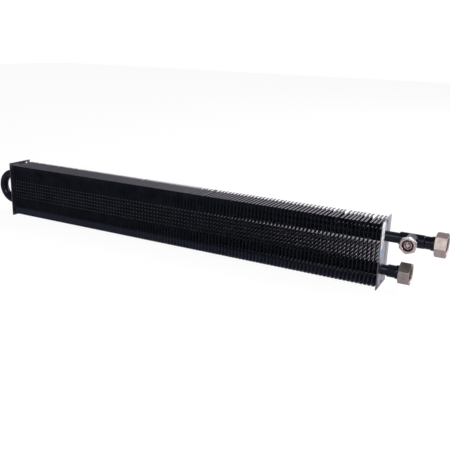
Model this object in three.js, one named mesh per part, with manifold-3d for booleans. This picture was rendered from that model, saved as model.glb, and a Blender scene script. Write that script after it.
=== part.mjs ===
// Finned heat-exchanger block of a trench convector heater, with pipe unions and an air vent.
//
// Millimetres, +Z up. +X runs along the tubes towards the pipe connections, +Y is the depth, and
// the vent looks along -Y. The origin is the middle of the foot edge of the connection end plate.

import * as THREE from 'three';
import { mergeVertices } from 'three/addons/utils/BufferGeometryUtils.js';
import Module from 'manifold-3d';

const wasm = await Module();
wasm.setup();

// ---- Driving dimensions -------------------------------------------------------------------

// End plates
const BLOCK_LENGTH = 700; // over the outer faces of both plates
const PLATE_HEIGHT = 100;
const PLATE_DEPTH = 50;
const PLATE_THICKNESS = 1.5;
const FIXING_HOLE_DIAMETER = 5;
const FIXING_HOLE_FROM_EDGE = 5.4; // hole centre to the plate's upper or lower edge
const BEND_FIXING_HOLE_SIDE = 17; // on the bend plate the holes stand beside the wider tube holes

// Tubes and return bend
const TUBE_DIAMETER = 15;
const TUBE_WALL = 1;
const TUBE_SPACING = 50; // between the axes of the flow and return tubes
const FLOW_TUBE_HEIGHT = 74; // axis above the foot of the plates
const BELL_INSET = 4; // outer face of the bend plate to where the tube is widened, inwards
const BELL_LENGTH = 10; // length of the widened end, which takes the return bend
const BEND_STANDOFF = 19; // bend plate to the centre of the bend

// Fins
const FIN_HEIGHT = 92;
const FIN_DEPTH = 48;
const FIN_THICKNESS = 0.4;
const FIN_PITCH = 6;
const FIN_FOOT = 4.6; // lower edge of the fins above the foot of the plates
const FIN_COLLAR_WALL = 0.8;
const FIN_PACKS = 5;
const LAST_FIN_ROOM = 0.5; // least room beside the far plate, in pitches

// Tee on the flow tube
const TEE_STANDOFF = 19; // connection plate to the near end of the tee
const TEE_LENGTH = 35;
const TEE_DIAMETER = 19;
const TEE_CHAMFER = 1;
const BOSS_DIAMETER = 20;
const BOSS_REACH = 21.5; // tee axis to the face of the boss
const SOCKET_DEPTH = 10; // length of tube held in a socket

// Tail pipes
const TAIL_DIAMETER = 18;
const TAIL_LIP = 1.2; // in front of the ring groove
const RING_GROOVE_DEPTH = 0.8;
const STOP_COLLAR_DIAMETER = 20;
const STOP_COLLAR_LENGTH = 5;
const RETURN_TAIL_STANDOFF = 8; // connection plate to the near end of the return tail

// Union nuts, for G 3/4 pipe threads, with their rings and gaskets
const FLOW_NUT_STANDOFF = 68; // connection plate to the back of the nut
const RETURN_NUT_STANDOFF = 25;
const FLOW_NUT_TURN = 12; // degrees from a corner pointing along -Y
const RETURN_NUT_TURN = -22;
const NUT_ACROSS_FLATS = 30;
const NUT_LENGTH = 15.5;
const NUT_BACK_WALL = 3;
const NUT_BORE = 24.1; // over the crests of the thread
const NUT_MOUTH_BEVEL = 1;
const NUT_CORNER_BEVEL = 1.6; // radial depth of the bevel on the corners
const CORNER_BEVEL_ANGLE = 30; // degrees from the end face, on nuts and vent
const RING_DIAMETER = 21.8;
const RING_THICKNESS = 1.6;
const RING_OPENING = 40; // degrees left open
const GASKET_DIAMETER = 23.2;
const GASKET_THICKNESS = 2;

// Air vent, along its own axis from the tee
const SEAL_RING_DIAMETER = 20.8;
const SEAL_RING_THICKNESS = 1.5;
const VENT_ACROSS_FLATS = 22;
const VENT_HEX_LENGTH = 6;
const VENT_TURN = 20; // degrees from a corner pointing along +X
const VENT_CORNER_BEVEL = 1.4;
const VENT_THREAD_DIAMETER = 16.2;
const VENT_THREAD_LENGTH = 11;
const VENT_RECESS_DIAMETER = 15.6;
const VENT_RECESS_DEPTH = 5;
const SLEEVE_DIAMETER = 10.6;
const SLEEVE_SETBACK = 1.2; // front of the sleeve behind the front of the hexagon
const SEAT_WALL = 3;
const SEAT_HOLE_DIAMETER = 3;
const PAD_DIAMETER = 6.8;
const PAD_THICKNESS = 2.4;
const SCREW_DIAMETER = 7.8;
const SCREW_THREAD_LENGTH = 5.4;
const KEY_SQUARE = 5;
const KEY_SETBACK = 0.7; // end of the key square behind the front of the hexagon

// Label
const LABEL_WIDTH = 15.5;
const LABEL_HEIGHT = 50;
const LABEL_THICKNESS = 0.2;
const LABEL_FROM_FRONT = 0.6;
const LABEL_FROM_TOP = 2;

// Clearances
const SEAT_GAP = 0.3; // between faces that sit on each other
const RUNNING_GAP = 0.3; // round a piece that turns or slides

// Facets
const COLLAR_SIDES = 8;
const TUBE_SIDES = 24;
const ROUND_SIDES = 24;
const BEND_SIDES = 16;
const BEND_STEPS = 16;
const HEXAGON = 6;

// ---- Sizes that follow --------------------------------------------------------------------

const CONNECTION_FACE_X = PLATE_THICKNESS / 2;
const BEND_FACE_X = CONNECTION_FACE_X - BLOCK_LENGTH;
const RETURN_TUBE_HEIGHT = FLOW_TUBE_HEIGHT - TUBE_SPACING;
const TUBE_RADIUS = TUBE_DIAMETER / 2;
const BORE_RADIUS = TUBE_RADIUS - TUBE_WALL;
const SOCKET_RADIUS = TUBE_RADIUS + SEAT_GAP;
const BELL_RADIUS = SOCKET_RADIUS + TUBE_WALL;
const TEE_END = TEE_STANDOFF + TEE_LENGTH;
const VENT_AXIS = TEE_STANDOFF + TEE_LENGTH / 2;

// Along a union, counted from the back of its nut
const RING_START = NUT_BACK_WALL + SEAT_GAP;
const RING_END = RING_START + RING_THICKNESS;
const TAIL_FACE = RING_END + SEAT_GAP + TAIL_LIP;
const GASKET_START = TAIL_FACE + SEAT_GAP;

// Along the vent, counted from the tee's axis
const SEAL_RING_START = BOSS_REACH + SEAT_GAP;
const HEX_START = SEAL_RING_START + SEAL_RING_THICKNESS + SEAT_GAP;
const VENT_FRONT = HEX_START + VENT_HEX_LENGTH;
const VENT_BACK = HEX_START - VENT_THREAD_LENGTH;
const SEAT_FACE = VENT_BACK + SEAT_WALL;
const PAD_START = SEAT_FACE + SEAT_GAP;
const SCREW_START = PAD_START + PAD_THICKNESS + SEAT_GAP;

// ---- Finishes -----------------------------------------------------------------------------

const finish = (color, roughness, metalness) => (
  new THREE.MeshStandardMaterial({ color, roughness, metalness })
);
const blackCoat = finish(0x17181f, 0.5, 0.3);
const plateCoat = finish(0x2b2a33, 0.4, 0.3);
const pipeCoat = finish(0x1b2130, 0.3, 0.2);
const dullNickel = finish(0xbcb0a8, 0.5, 0.8);
const brightNickel = finish(0xd9cfcb, 0.2, 1);
const springSteel = finish(0x8b8d92, 0.35, 1);
const fibre = finish(0x5b4a3c, 0.8, 0);
const rubber = finish(0x202020, 0.7, 0);
const paper = finish(0xf2f3f5, 0.6, 0);

// ---- Shape helpers ------------------------------------------------------------------------

// Corners of a regular polygon, counter-clockwise.
function corners(radius, sides, turn = 0) {
  return Array.from({ length: sides }, (unused, index) => {
    const angle = turn + (2 * Math.PI * index) / sides;
    return new THREE.Vector2(radius * Math.cos(angle), radius * Math.sin(angle));
  });
}

// Corner radius of a polygon whose flats lie at the given radius.
function aroundFlats(radius, sides) {
  return radius / Math.cos(Math.PI / sides);
}

// Outline of a plate, centred on (0, height / 2).
function uprightPlate(width, height) {
  return new THREE.Shape([
    new THREE.Vector2(-width / 2, 0),
    new THREE.Vector2(width / 2, 0),
    new THREE.Vector2(width / 2, height),
    new THREE.Vector2(-width / 2, height),
  ]);
}

function addHole(shape, y, z, radius, sides) {
  const centre = new THREE.Vector2(y, z);
  shape.holes.push(new THREE.Path(corners(radius, sides).map((corner) => corner.add(centre))));
}

// A shape drawn in the Y-Z plane, extruded along +X from the given start.
function extrudedAlongX(shape, start, length) {
  const geometry = new THREE.ExtrudeGeometry(shape, { depth: length, bevelEnabled: false });
  const axes = new THREE.Matrix4().makeBasis(
    new THREE.Vector3(0, 1, 0),
    new THREE.Vector3(0, 0, 1),
    new THREE.Vector3(1, 0, 0),
  );
  return geometry.applyMatrix4(axes).translate(start, 0, 0);
}

// A profile of [x, radius] points, turned round the X axis. It closes on itself or on the axis.
function turned(profile, sides = ROUND_SIDES) {
  const points = profile.map(([x, radius]) => new THREE.Vector2(radius, x));
  return new THREE.LatheGeometry(points, sides).rotateZ(-Math.PI / 2);
}

function solidRound(start, end, radius, sides) {
  return turned([[start, 0], [start, radius], [end, radius], [end, 0]], sides);
}

// A hollow round: a closed outer and inner line of [x, radius] points.
function ring(start, end, outerRadius, innerRadius, sides) {
  return turned([
    [start, innerRadius],
    [start, outerRadius],
    [end, outerRadius],
    [end, innerRadius],
    [start, innerRadius],
  ], sides);
}

// ---- Joining and cutting ------------------------------------------------------------------

const MERGE_DISTANCE = 1e-4;

function toSolid(geometry) {
  const bare = geometry.clone();
  bare.deleteAttribute('normal');
  bare.deleteAttribute('uv');
  const merged = mergeVertices(bare, MERGE_DISTANCE);
  const triangles = [];
  const index = merged.index.array;
  for (let i = 0; i < index.length; i += 3) {
    const [a, b, c] = [index[i], index[i + 1], index[i + 2]];
    const collapsed = a === b || b === c || c === a;
    if (!collapsed) triangles.push(a, b, c);
  }
  return new wasm.Manifold(new wasm.Mesh({
    numProp: 3,
    vertProperties: Float32Array.from(merged.attributes.position.array),
    triVerts: Uint32Array.from(triangles),
  }));
}

function toGeometry(solid) {
  const mesh = solid.getMesh();
  const geometry = new THREE.BufferGeometry();
  geometry.setAttribute('position', new THREE.BufferAttribute(mesh.vertProperties, 3));
  geometry.setIndex(new THREE.BufferAttribute(mesh.triVerts, 1));
  geometry.computeVertexNormals();
  return geometry;
}

function joined(geometries) {
  return geometries.map(toSolid).reduce((whole, next) => whole.add(next));
}

function withCuts(solid, cutters) {
  return cutters.map(toSolid).reduce((whole, next) => whole.subtract(next), solid);
}

// A hexagon bar whose corners are bevelled at both ends.
function hexagonBar(start, length, acrossFlats, bevel, turn) {
  const cornerRadius = aroundFlats(acrossFlats / 2, HEXAGON);
  const outline = new THREE.Shape(corners(cornerRadius, HEXAGON, turn));
  const bar = extrudedAlongX(outline, start, length);
  const rise = bevel * Math.tan(THREE.MathUtils.degToRad(CORNER_BEVEL_ANGLE));
  const envelope = turned([
    [start, 0],
    [start, cornerRadius - bevel],
    [start + rise, cornerRadius],
    [start + length - rise, cornerRadius],
    [start + length, cornerRadius - bevel],
    [start + length, 0],
  ]);
  return toSolid(bar).intersect(toSolid(envelope));
}

function piece(name, geometry, material) {
  const mesh = new THREE.Mesh(geometry, material);
  mesh.name = name;
  return mesh;
}

// ---- End plates ---------------------------------------------------------------------------

function endPlate(name, centreX, tubeHoleRadius, fixingHoleSide) {
  const outline = uprightPlate(PLATE_DEPTH, PLATE_HEIGHT);
  const tubeHole = aroundFlats(tubeHoleRadius, TUBE_SIDES);
  addHole(outline, 0, FLOW_TUBE_HEIGHT, tubeHole, TUBE_SIDES);
  addHole(outline, 0, RETURN_TUBE_HEIGHT, tubeHole, TUBE_SIDES);
  for (const height of [FIXING_HOLE_FROM_EDGE, PLATE_HEIGHT - FIXING_HOLE_FROM_EDGE]) {
    addHole(outline, fixingHoleSide, height, FIXING_HOLE_DIAMETER / 2, TUBE_SIDES);
  }
  const geometry = extrudedAlongX(outline, -PLATE_THICKNESS / 2, PLATE_THICKNESS);
  const plate = piece(name, geometry, plateCoat);
  plate.position.x = centreX;
  return plate;
}

// ---- Fins ---------------------------------------------------------------------------------

// The fins stand one pitch apart, counted from the inner face of the connection plate. Each fin's
// two collars reach towards that plate and end on the next fin.
const FIRST_FACE_X = CONNECTION_FACE_X - PLATE_THICKNESS;
const PLATE_GAP = BLOCK_LENGTH - 2 * PLATE_THICKNESS;
const FIN_COUNT = Math.floor(PLATE_GAP / FIN_PITCH - LAST_FIN_ROOM);

function finLeftFace(number) {
  return FIRST_FACE_X - number * FIN_PITCH - FIN_THICKNESS / 2;
}

function collarBar(start, end, height, flatRadius) {
  const centre = new THREE.Vector2(0, height);
  const radius = aroundFlats(flatRadius, COLLAR_SIDES);
  const outline = corners(radius, COLLAR_SIDES).map((corner) => corner.add(centre));
  return extrudedAlongX(new THREE.Shape(outline), start, end - start);
}

function finPack(name, firstFin, lastFin) {
  const start = finLeftFace(lastFin);
  const nextFace = firstFin === 1 ? FIRST_FACE_X : finLeftFace(firstFin - 1);
  const end = nextFace - SEAT_GAP;
  const heights = [RETURN_TUBE_HEIGHT, FLOW_TUBE_HEIGHT];
  const collarRadius = SOCKET_RADIUS + FIN_COLLAR_WALL;
  const solids = heights.map((height) => collarBar(start, end, height, collarRadius));
  for (let number = firstFin; number <= lastFin; number += 1) {
    const fin = extrudedAlongX(uprightPlate(FIN_DEPTH, FIN_HEIGHT), finLeftFace(number), FIN_THICKNESS);
    solids.push(fin.translate(0, 0, FIN_FOOT));
  }
  const overrun = FIN_PITCH;
  const bores = heights.map((height) => (
    collarBar(start - overrun, end + overrun, height, SOCKET_RADIUS)
  ));
  return piece(name, toGeometry(withCuts(joined(solids), bores)), blackCoat);
}

function finPacks() {
  return Array.from({ length: FIN_PACKS }, (unused, index) => {
    const firstFin = Math.round((index * FIN_COUNT) / FIN_PACKS) + 1;
    const lastFin = Math.round(((index + 1) * FIN_COUNT) / FIN_PACKS);
    return finPack(`fin_pack_${index + 1}`, firstFin, lastFin);
  });
}

// ---- Tubes and return bend ----------------------------------------------------------------

// A tube along X. Its far end is widened inside the bend plate's hole to take the return bend,
// and its near end lies in a socket.
function tube(name, endX, height) {
  const bellStart = BEND_FACE_X + BELL_INSET;
  const bellEnd = bellStart - BELL_LENGTH;
  const geometry = turned([
    [endX, BORE_RADIUS],
    [bellStart, BORE_RADIUS],
    [bellStart, SOCKET_RADIUS],
    [bellEnd, SOCKET_RADIUS],
    [bellEnd, BELL_RADIUS],
    [bellStart + TUBE_WALL, BELL_RADIUS],
    [bellStart + 2 * TUBE_WALL, TUBE_RADIUS],
    [endX, TUBE_RADIUS],
    [endX, BORE_RADIUS],
  ], TUBE_SIDES);
  const mesh = piece(name, geometry, pipeCoat);
  mesh.position.z = height;
  return mesh;
}

// Straight leg, half turn, straight leg, in the X-Z plane, at one speed along its length.
class HairpinCurve extends THREE.Curve {
  constructor(leg, radius) {
    super();
    this.leg = leg;
    this.radius = radius;
  }

  getPoint(t, target = new THREE.Vector3()) {
    const arc = Math.PI * this.radius;
    const total = 2 * this.leg + arc;
    const travelled = t * total;
    if (travelled < this.leg) {
      return target.set(this.leg - travelled, 0, this.radius);
    }
    if (travelled > this.leg + arc) {
      return target.set(travelled - this.leg - arc, 0, -this.radius);
    }
    const angle = (travelled - this.leg) / this.radius;
    return target.set(-this.radius * Math.sin(angle), 0, this.radius * Math.cos(angle));
  }
}

function returnBend() {
  const leg = BEND_STANDOFF + BELL_INSET - SEAT_GAP;
  const section = new THREE.Shape(corners(TUBE_RADIUS, BEND_SIDES));
  addHole(section, 0, 0, BORE_RADIUS, BEND_SIDES);
  const geometry = new THREE.ExtrudeGeometry(section, {
    steps: BEND_STEPS,
    extrudePath: new HairpinCurve(leg, TUBE_SPACING / 2),
  });
  const bend = piece('return_bend', geometry, pipeCoat);
  bend.position.set(BEND_FACE_X - BEND_STANDOFF, 0, FLOW_TUBE_HEIGHT - TUBE_SPACING / 2);
  return bend;
}

// ---- Unions -------------------------------------------------------------------------------

// Places a piece that is drawn from the back of its nut.
function atStandoff(mesh, standoff) {
  mesh.position.x = standoff;
  return mesh;
}

function unionNut(name, standoff, turnDegrees) {
  const turn = Math.PI + THREE.MathUtils.degToRad(turnDegrees);
  const bar = hexagonBar(0, NUT_LENGTH, NUT_ACROSS_FLATS, NUT_CORNER_BEVEL, turn);
  const boreRadius = NUT_BORE / 2;
  const hollow = turned([
    [-NUT_BACK_WALL, 0],
    [-NUT_BACK_WALL, TAIL_DIAMETER / 2 + RUNNING_GAP],
    [NUT_BACK_WALL, TAIL_DIAMETER / 2 + RUNNING_GAP],
    [NUT_BACK_WALL, boreRadius],
    [NUT_LENGTH - NUT_MOUTH_BEVEL, boreRadius],
    [NUT_LENGTH + NUT_MOUTH_BEVEL, boreRadius + 2 * NUT_MOUTH_BEVEL],
    [NUT_LENGTH + NUT_MOUTH_BEVEL, 0],
  ]);
  return atStandoff(piece(name, toGeometry(withCuts(bar, [hollow])), dullNickel), standoff);
}

// Split ring that sits in the tail's groove and holds the nut on.
function nutRing(name, standoff) {
  const halfOpening = THREE.MathUtils.degToRad(RING_OPENING / 2);
  const innerRadius = TAIL_DIAMETER / 2 - RING_GROOVE_DEPTH + SEAT_GAP;
  const outline = new THREE.Shape();
  outline.absarc(0, 0, RING_DIAMETER / 2, halfOpening, -halfOpening, false);
  outline.absarc(0, 0, innerRadius, -halfOpening, halfOpening, true);
  const geometry = new THREE.ExtrudeGeometry(outline, {
    depth: RING_THICKNESS,
    bevelEnabled: false,
    curveSegments: ROUND_SIDES / 2,
  }).rotateY(Math.PI / 2).translate(RING_START, 0, 0);
  return atStandoff(piece(name, geometry, springSteel), standoff);
}

function gasket(name, standoff) {
  const end = GASKET_START + GASKET_THICKNESS;
  const geometry = ring(GASKET_START, end, GASKET_DIAMETER / 2, BORE_RADIUS);
  return atStandoff(piece(name, geometry, fibre), standoff);
}

// Outer line of a tail, from its stop collar to its front face, counted from the nut's back.
function tailFront(standoff) {
  const tailRadius = TAIL_DIAMETER / 2;
  const grooveRadius = tailRadius - RING_GROOVE_DEPTH;
  const collarRadius = STOP_COLLAR_DIAMETER / 2;
  const along = (distance) => standoff + distance;
  return [
    [along(-SEAT_GAP - STOP_COLLAR_LENGTH), tailRadius],
    [along(-SEAT_GAP - STOP_COLLAR_LENGTH), collarRadius],
    [along(-SEAT_GAP), collarRadius],
    [along(-SEAT_GAP), tailRadius],
    [along(RING_START - SEAT_GAP), tailRadius],
    [along(RING_START - SEAT_GAP), grooveRadius],
    [along(RING_END + SEAT_GAP), grooveRadius],
    [along(RING_END + SEAT_GAP), tailRadius],
    [along(TAIL_FACE), tailRadius],
    [along(TAIL_FACE), BORE_RADIUS],
  ];
}

// The flow tail's near end is a spigot in the tee's socket.
function flowTail() {
  const spigotStart = TEE_END - SOCKET_DEPTH + SEAT_GAP;
  const shoulder = TEE_END + SEAT_GAP;
  const geometry = turned([
    [spigotStart, BORE_RADIUS],
    [spigotStart, TUBE_RADIUS],
    [shoulder, TUBE_RADIUS],
    [shoulder, TAIL_DIAMETER / 2],
    ...tailFront(FLOW_NUT_STANDOFF),
    [spigotStart, BORE_RADIUS],
  ]);
  return piece('flow_tail', geometry, pipeCoat);
}

// The return tail's near end is a socket over the return tube.
function returnTail() {
  const socketEnd = RETURN_TAIL_STANDOFF + SOCKET_DEPTH;
  const geometry = turned([
    [socketEnd, BORE_RADIUS],
    [socketEnd, SOCKET_RADIUS],
    [RETURN_TAIL_STANDOFF, SOCKET_RADIUS],
    [RETURN_TAIL_STANDOFF, TAIL_DIAMETER / 2],
    ...tailFront(RETURN_NUT_STANDOFF),
    [socketEnd, BORE_RADIUS],
  ]);
  return piece('return_tail', geometry, pipeCoat);
}

// ---- Tee and air vent ---------------------------------------------------------------------

// The tee is centred on the vent's axis. Its boss points along -Y.
function ventTee() {
  const half = TEE_LENGTH / 2;
  const radius = TEE_DIAMETER / 2;
  const run = turned([
    [-half, 0],
    [-half, radius - TEE_CHAMFER],
    [-half + TEE_CHAMFER, radius],
    [half - TEE_CHAMFER, radius],
    [half, radius - TEE_CHAMFER],
    [half, 0],
  ]);
  const boss = solidRound(0, BOSS_REACH, BOSS_DIAMETER / 2).rotateZ(-Math.PI / 2);
  const socketBottom = half - SOCKET_DEPTH;
  const waterway = turned([
    [-half - SOCKET_DEPTH, 0],
    [-half - SOCKET_DEPTH, SOCKET_RADIUS],
    [-socketBottom, SOCKET_RADIUS],
    [-socketBottom, BORE_RADIUS],
    [socketBottom, BORE_RADIUS],
    [socketBottom, SOCKET_RADIUS],
    [half + SOCKET_DEPTH, SOCKET_RADIUS],
    [half + SOCKET_DEPTH, 0],
  ]);
  const threadRadius = VENT_THREAD_DIAMETER / 2 + SEAT_GAP;
  const threadStart = BORE_RADIUS / 2;
  const thread = solidRound(threadStart, BOSS_REACH * 2, threadRadius).rotateZ(-Math.PI / 2);
  const solid = withCuts(joined([run, boss]), [waterway, thread]);
  return piece('vent_tee', toGeometry(solid), pipeCoat);
}

function ventSealRing() {
  const innerRadius = VENT_THREAD_DIAMETER / 2 + SEAT_GAP;
  const end = SEAL_RING_START + SEAL_RING_THICKNESS;
  const geometry = ring(SEAL_RING_START, end, SEAL_RING_DIAMETER / 2, innerRadius);
  return piece('vent_seal_ring', geometry, rubber);
}

function ventBody() {
  const turn = THREE.MathUtils.degToRad(VENT_TURN);
  const flange = hexagonBar(HEX_START, VENT_HEX_LENGTH, VENT_ACROSS_FLATS, VENT_CORNER_BEVEL, turn);
  const spigotEnd = HEX_START + VENT_HEX_LENGTH / 2;
  const spigot = toSolid(solidRound(VENT_BACK, spigotEnd, VENT_THREAD_DIAMETER / 2));
  const sleeveBore = SLEEVE_DIAMETER / 2 + SEAT_GAP;
  const recessFloor = VENT_FRONT - VENT_RECESS_DEPTH;
  const hollow = turned([
    [VENT_BACK - VENT_RECESS_DEPTH, 0],
    [VENT_BACK - VENT_RECESS_DEPTH, sleeveBore],
    [recessFloor, sleeveBore],
    [recessFloor, VENT_RECESS_DIAMETER / 2],
    [VENT_FRONT + VENT_RECESS_DEPTH, VENT_RECESS_DIAMETER / 2],
    [VENT_FRONT + VENT_RECESS_DEPTH, 0],
  ]);
  const solid = withCuts(flange.add(spigot), [hollow]);
  return piece('vent_body', toGeometry(solid), brightNickel);
}

// Sleeve with the seat at its inner end and the well for the key at its outer end.
function ventSleeve() {
  const outerRadius = SLEEVE_DIAMETER / 2;
  const wellRadius = SCREW_DIAMETER / 2 + RUNNING_GAP;
  const front = VENT_FRONT - SLEEVE_SETBACK;
  const geometry = turned([
    [VENT_BACK, SEAT_HOLE_DIAMETER / 2],
    [VENT_BACK, outerRadius],
    [front, outerRadius],
    [front, wellRadius],
    [SEAT_FACE, wellRadius],
    [SEAT_FACE, SEAT_HOLE_DIAMETER / 2],
    [VENT_BACK, SEAT_HOLE_DIAMETER / 2],
  ]);
  return piece('vent_sleeve', geometry, brightNickel);
}

function ventSeatPad() {
  const geometry = solidRound(PAD_START, PAD_START + PAD_THICKNESS, PAD_DIAMETER / 2);
  return piece('vent_seat_pad', geometry, rubber);
}

function ventScrew() {
  const threadEnd = SCREW_START + SCREW_THREAD_LENGTH;
  const thread = solidRound(SCREW_START, threadEnd, SCREW_DIAMETER / 2);
  const keyStart = threadEnd - SCREW_THREAD_LENGTH / 2;
  const keyEnd = VENT_FRONT - KEY_SETBACK;
  const cornerRadius = KEY_SQUARE / Math.SQRT2;
  const square = new THREE.Shape(corners(cornerRadius, 4, Math.PI / 2));
  const key = extrudedAlongX(square, keyStart, keyEnd - keyStart);
  return piece('vent_screw', toGeometry(joined([thread, key])), brightNickel);
}

// ---- Label --------------------------------------------------------------------------------

function label() {
  const geometry = new THREE.BoxGeometry(LABEL_THICKNESS, LABEL_WIDTH, LABEL_HEIGHT);
  const sticker = piece('label', geometry, paper);
  sticker.position.set(
    CONNECTION_FACE_X + LABEL_THICKNESS / 2,
    -PLATE_DEPTH / 2 + LABEL_FROM_FRONT + LABEL_WIDTH / 2,
    PLATE_HEIGHT - LABEL_FROM_TOP - LABEL_HEIGHT / 2,
  );
  return sticker;
}

// ---- Assembly -----------------------------------------------------------------------------

const group = new THREE.Group();

const bendPlateX = BEND_FACE_X + PLATE_THICKNESS / 2;
group.add(endPlate('end_plate_connection', 0, SOCKET_RADIUS, 0));
group.add(endPlate('end_plate_bend', bendPlateX, BELL_RADIUS + SEAT_GAP, BEND_FIXING_HOLE_SIDE));
group.add(...finPacks());

const flowTubeEnd = CONNECTION_FACE_X + TEE_STANDOFF + SOCKET_DEPTH - SEAT_GAP;
const returnTubeEnd = CONNECTION_FACE_X + RETURN_TAIL_STANDOFF + SOCKET_DEPTH - SEAT_GAP;
group.add(tube('flow_tube', flowTubeEnd, FLOW_TUBE_HEIGHT));
group.add(tube('return_tube', returnTubeEnd, RETURN_TUBE_HEIGHT));
group.add(returnBend());

// Lines of pieces that start at the outer face of the connection plate
const flowLine = new THREE.Group();
flowLine.position.set(CONNECTION_FACE_X, 0, FLOW_TUBE_HEIGHT);
flowLine.add(flowTail());
flowLine.add(unionNut('flow_union_nut', FLOW_NUT_STANDOFF, FLOW_NUT_TURN));
flowLine.add(nutRing('flow_nut_ring', FLOW_NUT_STANDOFF));
flowLine.add(gasket('flow_gasket', FLOW_NUT_STANDOFF));
group.add(flowLine);

const returnLine = new THREE.Group();
returnLine.position.set(CONNECTION_FACE_X, 0, RETURN_TUBE_HEIGHT);
returnLine.add(returnTail());
returnLine.add(unionNut('return_union_nut', RETURN_NUT_STANDOFF, RETURN_NUT_TURN));
returnLine.add(nutRing('return_nut_ring', RETURN_NUT_STANDOFF));
returnLine.add(gasket('return_gasket', RETURN_NUT_STANDOFF));
group.add(returnLine);

const tee = ventTee();
tee.position.x = VENT_AXIS;
flowLine.add(tee);

// The vent's own +X points along the object's -Y.
const ventLine = new THREE.Group();
ventLine.position.x = VENT_AXIS;
ventLine.rotation.z = -Math.PI / 2;
ventLine.add(ventSealRing());
ventLine.add(ventBody());
ventLine.add(ventSleeve());
ventLine.add(ventSeatPad());
ventLine.add(ventScrew());
flowLine.add(ventLine);

group.add(label());

export default group;
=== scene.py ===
# %% [markdown]
# # The heat-exchanger block of a trench convector heater
#
# A trench convector stands in a channel below the floor. Its working part is this long block:
# over a hundred thin black fins on two copper tubes, held between two sheet-metal end plates. The
# water comes in through the upper tube, turns round in a bend behind the far plate and leaves
# through the lower tube. Loose hexagon nuts join it to the pipes, and an air vent stands on a tee.
#
# The solids of the CAD model come first. They fix the size and the place of every piece.

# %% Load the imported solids
import math
import random

import bpy
from mathutils import Matrix, Vector


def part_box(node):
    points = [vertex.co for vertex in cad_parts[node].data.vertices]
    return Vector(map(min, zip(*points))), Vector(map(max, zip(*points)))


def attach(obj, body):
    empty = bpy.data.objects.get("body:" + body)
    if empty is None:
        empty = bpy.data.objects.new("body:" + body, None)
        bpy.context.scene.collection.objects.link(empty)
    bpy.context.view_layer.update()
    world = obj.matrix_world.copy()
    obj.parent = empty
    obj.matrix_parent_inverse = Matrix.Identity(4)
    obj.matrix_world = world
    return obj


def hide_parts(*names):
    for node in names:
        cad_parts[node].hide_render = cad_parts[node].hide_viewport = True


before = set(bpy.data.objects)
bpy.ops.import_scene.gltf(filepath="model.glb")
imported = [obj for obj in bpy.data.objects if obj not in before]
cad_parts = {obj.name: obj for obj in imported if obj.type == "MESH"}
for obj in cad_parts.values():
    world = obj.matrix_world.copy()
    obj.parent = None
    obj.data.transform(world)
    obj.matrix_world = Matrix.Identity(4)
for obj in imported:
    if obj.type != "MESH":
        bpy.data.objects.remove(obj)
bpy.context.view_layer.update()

MM = 0.001
bpy.ops.object.select_all(action="DESELECT")

# %% [markdown]
# ## Camera
#
# The place of the camera was worked out from the perspective of the fin block: a normal lens a
# little less than a metre away, looking down along the block from the end with the pipes. The
# turn is built from a heading, a downward tilt and a slight roll.

# %% Camera
CAMERA_PLACE = Vector((180.99, -832.33, 326.11)) * MM
CAMERA_HEADING = 0.48191
CAMERA_TILT = 0.28834
CAMERA_ROLL = 0.03086
SENSOR_WIDTH = 36.0
LENS = 48.95

bpy.ops.object.camera_add()
camera = bpy.context.object
camera.name = "camera"
camera.data.sensor_width = SENSOR_WIDTH
camera.data.lens = LENS
camera.data.clip_start = 10 * MM
camera.matrix_world = (
    Matrix.Translation(CAMERA_PLACE)
    @ Matrix.Rotation(CAMERA_HEADING, 4, "Z")
    @ Matrix.Rotation(math.pi / 2 - CAMERA_TILT, 4, "X")
    @ Matrix.Rotation(CAMERA_ROLL, 4, "Z")
)
bpy.context.scene.camera = camera
print("camera stands", round(CAMERA_PLACE.length, 3), "m from the origin")

# %% [markdown]
# ## Light and surroundings
#
# Black gloss is mostly a picture of what stands round it, so the surroundings matter as much as
# the paint. To the camera, the world and the floor are plain white. Everything else sees a studio:
# a bright white sweep low behind the block, a dim room in front of it and above it, and a pale
# floor. The fins and the near plate mirror the sweep at a slant. The tubes and nuts mirror the dim
# room and the lamps in it, which is why they look dark with narrow lights.

# %% A world that is white to the camera and a studio to the object
LIGHT_OF_ROOM = 0.3
LIGHT_OF_SWEEP = 1.0
SHARE_LEFT_ABOVE = 0.35
SWEEP_FROM_Y = 0.74
SWEEP_FULL_Y = 0.95
DIM_FROM_Z = 0.35
DIM_FULL_Z = 0.6
STUDIO_TINT = (0.95, 0.92, 1.0, 1.0)
WHITE = (1.0, 1.0, 1.0, 1.0)

world = bpy.data.worlds.new("studio")
bpy.context.scene.world = world
world.use_nodes = True
world_nodes = world.node_tree.nodes
world_links = world.node_tree.links
background = world_nodes["Background"]
world_place = world_nodes.new("ShaderNodeTexCoord")
world_axes = world_nodes.new("ShaderNodeSeparateXYZ")
studio = world_nodes.new("ShaderNodeMapRange")
studio.inputs["From Min"].default_value = SWEEP_FROM_Y
studio.inputs["From Max"].default_value = SWEEP_FULL_Y
studio.inputs["To Min"].default_value = LIGHT_OF_ROOM
studio.inputs["To Max"].default_value = LIGHT_OF_SWEEP
above = world_nodes.new("ShaderNodeMapRange")
above.inputs["From Min"].default_value = DIM_FROM_Z
above.inputs["From Max"].default_value = DIM_FULL_Z
above.inputs["To Min"].default_value = 1.0
above.inputs["To Max"].default_value = SHARE_LEFT_ABOVE
dimmed = world_nodes.new("ShaderNodeMath")
dimmed.operation = "MULTIPLY"
seen = world_nodes.new("ShaderNodeLightPath")
level = world_nodes.new("ShaderNodeMath")
level.operation = "MAXIMUM"
tint = world_nodes.new("ShaderNodeMix")
tint.data_type = "RGBA"
tint.inputs["A"].default_value = STUDIO_TINT
tint.inputs["B"].default_value = WHITE
world_links.new(world_place.outputs["Generated"], world_axes.inputs[0])
world_links.new(world_axes.outputs["Y"], studio.inputs["Value"])
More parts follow.
